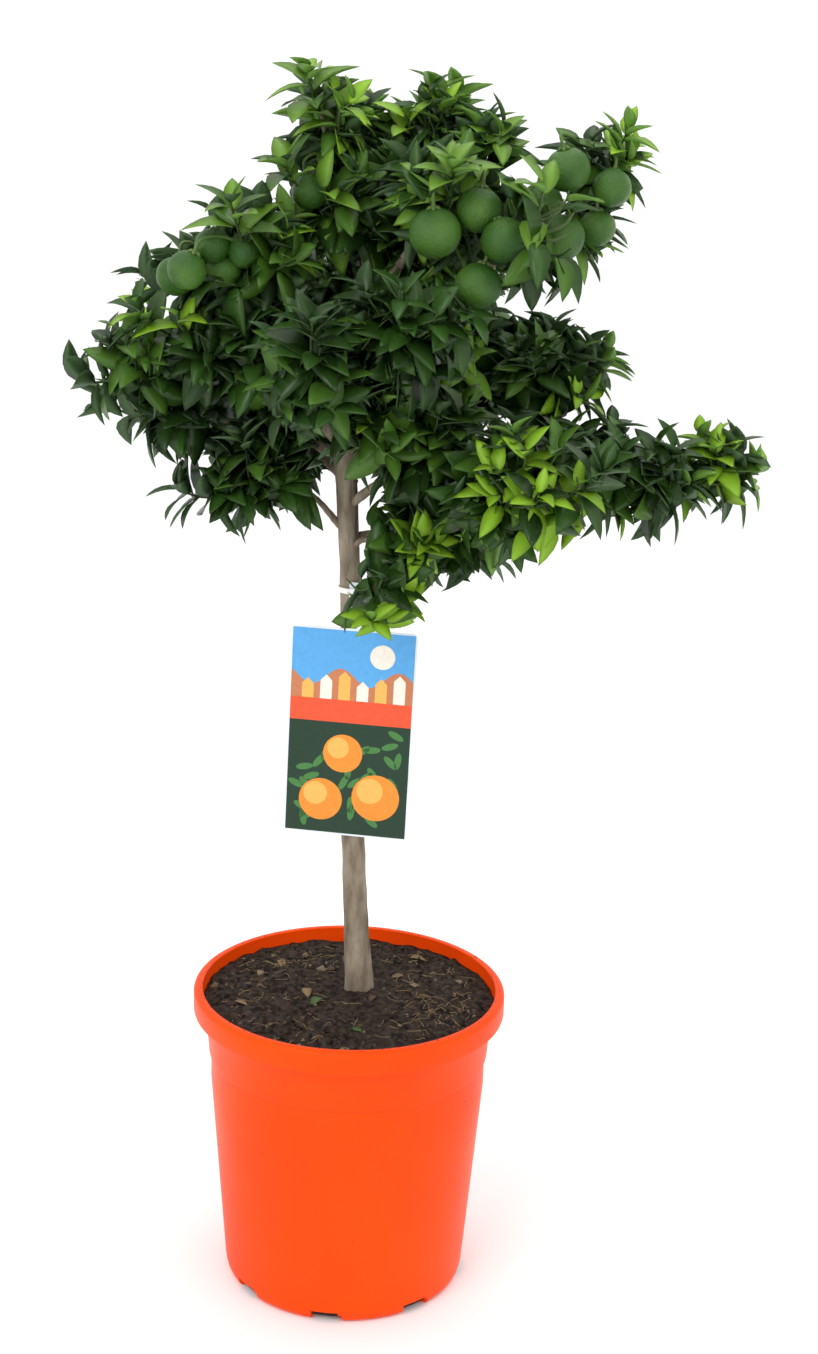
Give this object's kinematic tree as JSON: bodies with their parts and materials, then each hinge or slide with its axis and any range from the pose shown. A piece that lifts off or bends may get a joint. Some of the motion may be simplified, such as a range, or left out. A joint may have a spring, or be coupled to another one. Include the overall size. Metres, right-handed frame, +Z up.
{
  "type": "potted chinotto orange tree",
  "caption": "Young chinotto orange grown as a small standard: bare trunk, open leafy crown with green fruit, tapered plastic nursery pot and a blank hang label.",
  "frame": {"origin": "centre of the pot's flat underside, on the ground", "axes": "+Z up along the pot's axis; -Y towards the front, where the label hangs; +X towards the longest side bough"},
  "size_m": [0.4371, 0.3012, 0.8412],
  "materials": {
    "pot_plastic": "bright orange injection-moulded plastic, satin, lightly scuffed",
    "potting_soil": "moist dark compost with bark crumbs, fibres and fallen leaves",
    "bark": "grey-brown young bark, finely fissured and matt",
    "foliage": "glossy dark green leaves with lime young shoots",
    "label_card": "thin printed plastic card, satin",
    "label_loop": "thin off-white plastic tie"
  },
  "bodies": {
    "root": {"bough_back_left": "bark", "bough_back_mid": "bark", "bough_back_right": "bark", "bough_foot": "bark", "bough_front": "bark", "bough_leader": "bark", "bough_left_arm": "bark", "bough_left_fruit": "bark", "bough_left_low": "bark", "bough_left_under": "bark", "bough_mid_fruit": "bark", "bough_right_arm": "bark", "bough_right_fruit": "bark", "bough_right_low": "bark", "bough_right_tip": "bark", "bough_right_under": "bark", "label_card": "label_card", "label_loop": "label_loop", "mass_back_left_1": "foliage", "mass_back_left_2": "foliage", "mass_back_mid_1": "foliage", "mass_back_mid_2": "foliage", "mass_back_right_1": "foliage", "mass_back_right_2": "foliage", "mass_core_1": "foliage", "mass_foot_1": "foliage", "mass_foot_2": "foliage", "mass_front_1": "foliage", "mass_front_2": "foliage", "mass_front_low_1": "foliage", "mass_left_arm_1": "foliage", "mass_left_arm_2": "foliage", "mass_left_arm_3": "foliage", "mass_left_fruit_1": "foliage", "mass_left_fruit_2": "foliage", "mass_left_low_1": "foliage", "mass_left_low_2": "foliage", "mass_left_under_1": "foliage", "mass_left_under_2": "foliage", "mass_mid_fruit_1": "foliage", "mass_mid_fruit_2": "foliage", "mass_right_arm_1": "foliage", "mass_right_arm_2": "foliage", "mass_right_fruit_1": "foliage", "mass_right_fruit_2": "foliage", "mass_right_low_1": "foliage", "mass_right_low_2": "foliage", "mass_right_tip_1": "foliage", "mass_right_tip_2": "foliage", "mass_right_tip_3": "foliage", "mass_right_under_1": "foliage", "mass_shoulder_1": "foliage", "mass_top_left_1": "foliage", "mass_top_left_2": "foliage", "mass_top_mid_1": "foliage", "mass_top_right_1": "foliage", "mass_top_right_2": "foliage", "pot": "pot_plastic", "potting_soil": "potting_soil", "trunk": "bark"}
  },
  "joints": []
}
